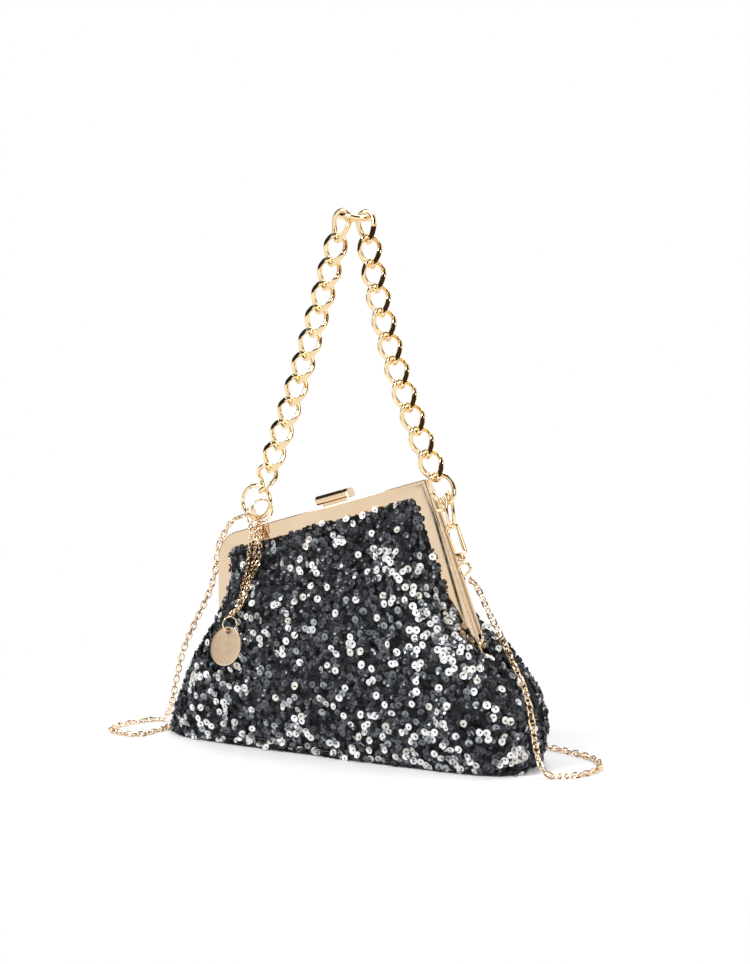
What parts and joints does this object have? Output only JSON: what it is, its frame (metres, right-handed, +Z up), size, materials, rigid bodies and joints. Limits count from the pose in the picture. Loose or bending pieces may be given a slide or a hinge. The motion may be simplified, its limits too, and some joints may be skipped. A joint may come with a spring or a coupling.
{
  "type": "evening bag",
  "caption": "Sequinned evening bag on an asymmetric hinged metal kiss-lock frame, with a curb-chain handle, a fine shoulder chain and a round tag on a chain tassel.",
  "frame": {"origin": "middle of the base where it rests on the ground", "axes": "+X towards the right-hand end seen from the front, +Y from the front to the back, +Z up"},
  "size_m": [0.3807, 0.1177, 0.394],
  "materials": {
    "sequin_fabric": "overlapping cupped sequins, charcoal with silver flashes",
    "lining_satin": "satin",
    "stiffener_board": "raw board",
    "spring_steel": "plain",
    "fine_chain_gold": "polished plate",
    "champagne_gold": "mirror-polished pale gold plate"
  },
  "bodies": {
    "root": {"front_panel": "sequin_fabric", "back_panel_lower": "sequin_fabric", "gusset_left": "sequin_fabric", "gusset_right": "sequin_fabric", "base_panel": "sequin_fabric", "base_board": "stiffener_board", "lining_base": "lining_satin", "lining_front": "lining_satin", "lining_back_lower": "lining_satin", "lining_side_left": "lining_satin", "lining_side_right": "lining_satin", "frame_front": "champagne_gold", "hinge_rivet_left": "champagne_gold", "hinge_rivet_right": "champagne_gold", "clasp_spring": "spring_steel", "lug_left": "champagne_gold", "lug_right": "champagne_gold", "shoulder_chain": "fine_chain_gold", "shoulder_ring": "champagne_gold", "hook_link": "champagne_gold", "snap_hook": "champagne_gold", "snap_hook_ring": "champagne_gold"},
    "frame_back_half": {"frame_back": "champagne_gold", "back_panel_upper": "sequin_fabric", "lining_back_upper": "lining_satin", "clasp_strike": "spring_steel"},
    "clasp": {"clasp_knob": "champagne_gold", "clasp_latch": "spring_steel"},
    "handle_lower": {"gate_ring": "champagne_gold", "handle_link_01": "champagne_gold", "handle_link_02": "champagne_gold", "handle_link_03": "champagne_gold", "handle_link_04": "champagne_gold", "handle_link_13": "champagne_gold", "handle_link_14": "champagne_gold", "handle_link_15": "champagne_gold", "handle_link_16": "champagne_gold"},
    "handle_middle": {"handle_link_05": "champagne_gold", "handle_link_06": "champagne_gold", "handle_link_07": "champagne_gold", "handle_link_08": "champagne_gold", "handle_link_17": "champagne_gold", "handle_link_18": "champagne_gold", "handle_link_19": "champagne_gold", "handle_link_20": "champagne_gold"},
    "handle_top": {"handle_link_09": "champagne_gold", "handle_link_10": "champagne_gold", "handle_link_11": "champagne_gold", "handle_link_12": "champagne_gold", "handle_link_21": "champagne_gold", "handle_link_22": "champagne_gold", "handle_link_23": "champagne_gold", "handle_link_24": "champagne_gold", "handle_link_25": "champagne_gold"},
    "ring_gate": {"gate_ring_gate": "champagne_gold"},
    "tassel": {"tassel_ring": "champagne_gold", "tassel_chain": "fine_chain_gold", "tag_ring": "champagne_gold"},
    "tag": {"tag_disc": "champagne_gold"},
    "hook_gate": {"snap_hook_gate": "champagne_gold"}
  },
  "joints": [
    {"name": "frame_open", "type": "hinge", "parent": "root", "child": "frame_back_half", "pos_m": [0, 0, 0.083], "axis": [-1, 0, 0], "range_deg": [0, 40]},
    {"name": "clasp_press", "type": "slide", "parent": "root", "child": "clasp", "axis": [0.2656, 0, -0.9641], "range_m": [0, 0.002], "stiffness_N_per_m": 900, "springref_m": -0.001},
    {"name": "handle_swing", "type": "hinge", "parent": "root", "child": "handle_lower", "pos_m": [-0.0805, -0.003, 0.1661], "axis": [0.9942, 0, 0.1072], "range_deg": [-75, 75]},
    {"name": "handle_fold_low", "type": "hinge", "parent": "handle_lower", "child": "handle_middle", "pos_m": [-0.04907, -0.003, 0.25436], "axis": [0.9991, 0, -0.0421], "range_deg": [-20, 20]},
    {"name": "handle_fold_high", "type": "hinge", "parent": "handle_middle", "child": "handle_top", "pos_m": [-0.02533, -0.003, 0.3219], "axis": [0.9976, 0, -0.0697], "range_deg": [-20, 20]},
    {"name": "ring_gate_swing", "type": "hinge", "parent": "handle_lower", "child": "ring_gate", "pos_m": [-0.0928, -0.003, 0.17958], "axis": [0, 1, 0], "range_deg": [0, 25], "stiffness_Nm_per_rad": 0.02},
    {"name": "tassel_swing", "type": "hinge", "parent": "root", "child": "tassel", "pos_m": [-0.076, -0.003, 0.1673], "axis": [-1, 0, 0], "range_deg": [0, 40]},
    {"name": "tag_swing", "type": "hinge", "parent": "tassel", "child": "tag", "pos_m": [-0.081, -0.04113, 0.08532], "axis": [-0.9903, 0.1392, 0], "range_deg": [0, 30]},
    {"name": "hook_gate_swing", "type": "hinge", "parent": "root", "child": "hook_gate", "pos_m": [0.08561, -0.003, 0.1476], "axis": [0, 1, 0], "range_deg": [0, 20], "stiffness_Nm_per_rad": 0.02}
  ],
  "couplings": [
    {"joint": "handle_fold_low", "follows": "handle_swing", "ratio": 0.25},
    {"joint": "handle_fold_high", "follows": "handle_swing", "ratio": 0.25}
  ]
}
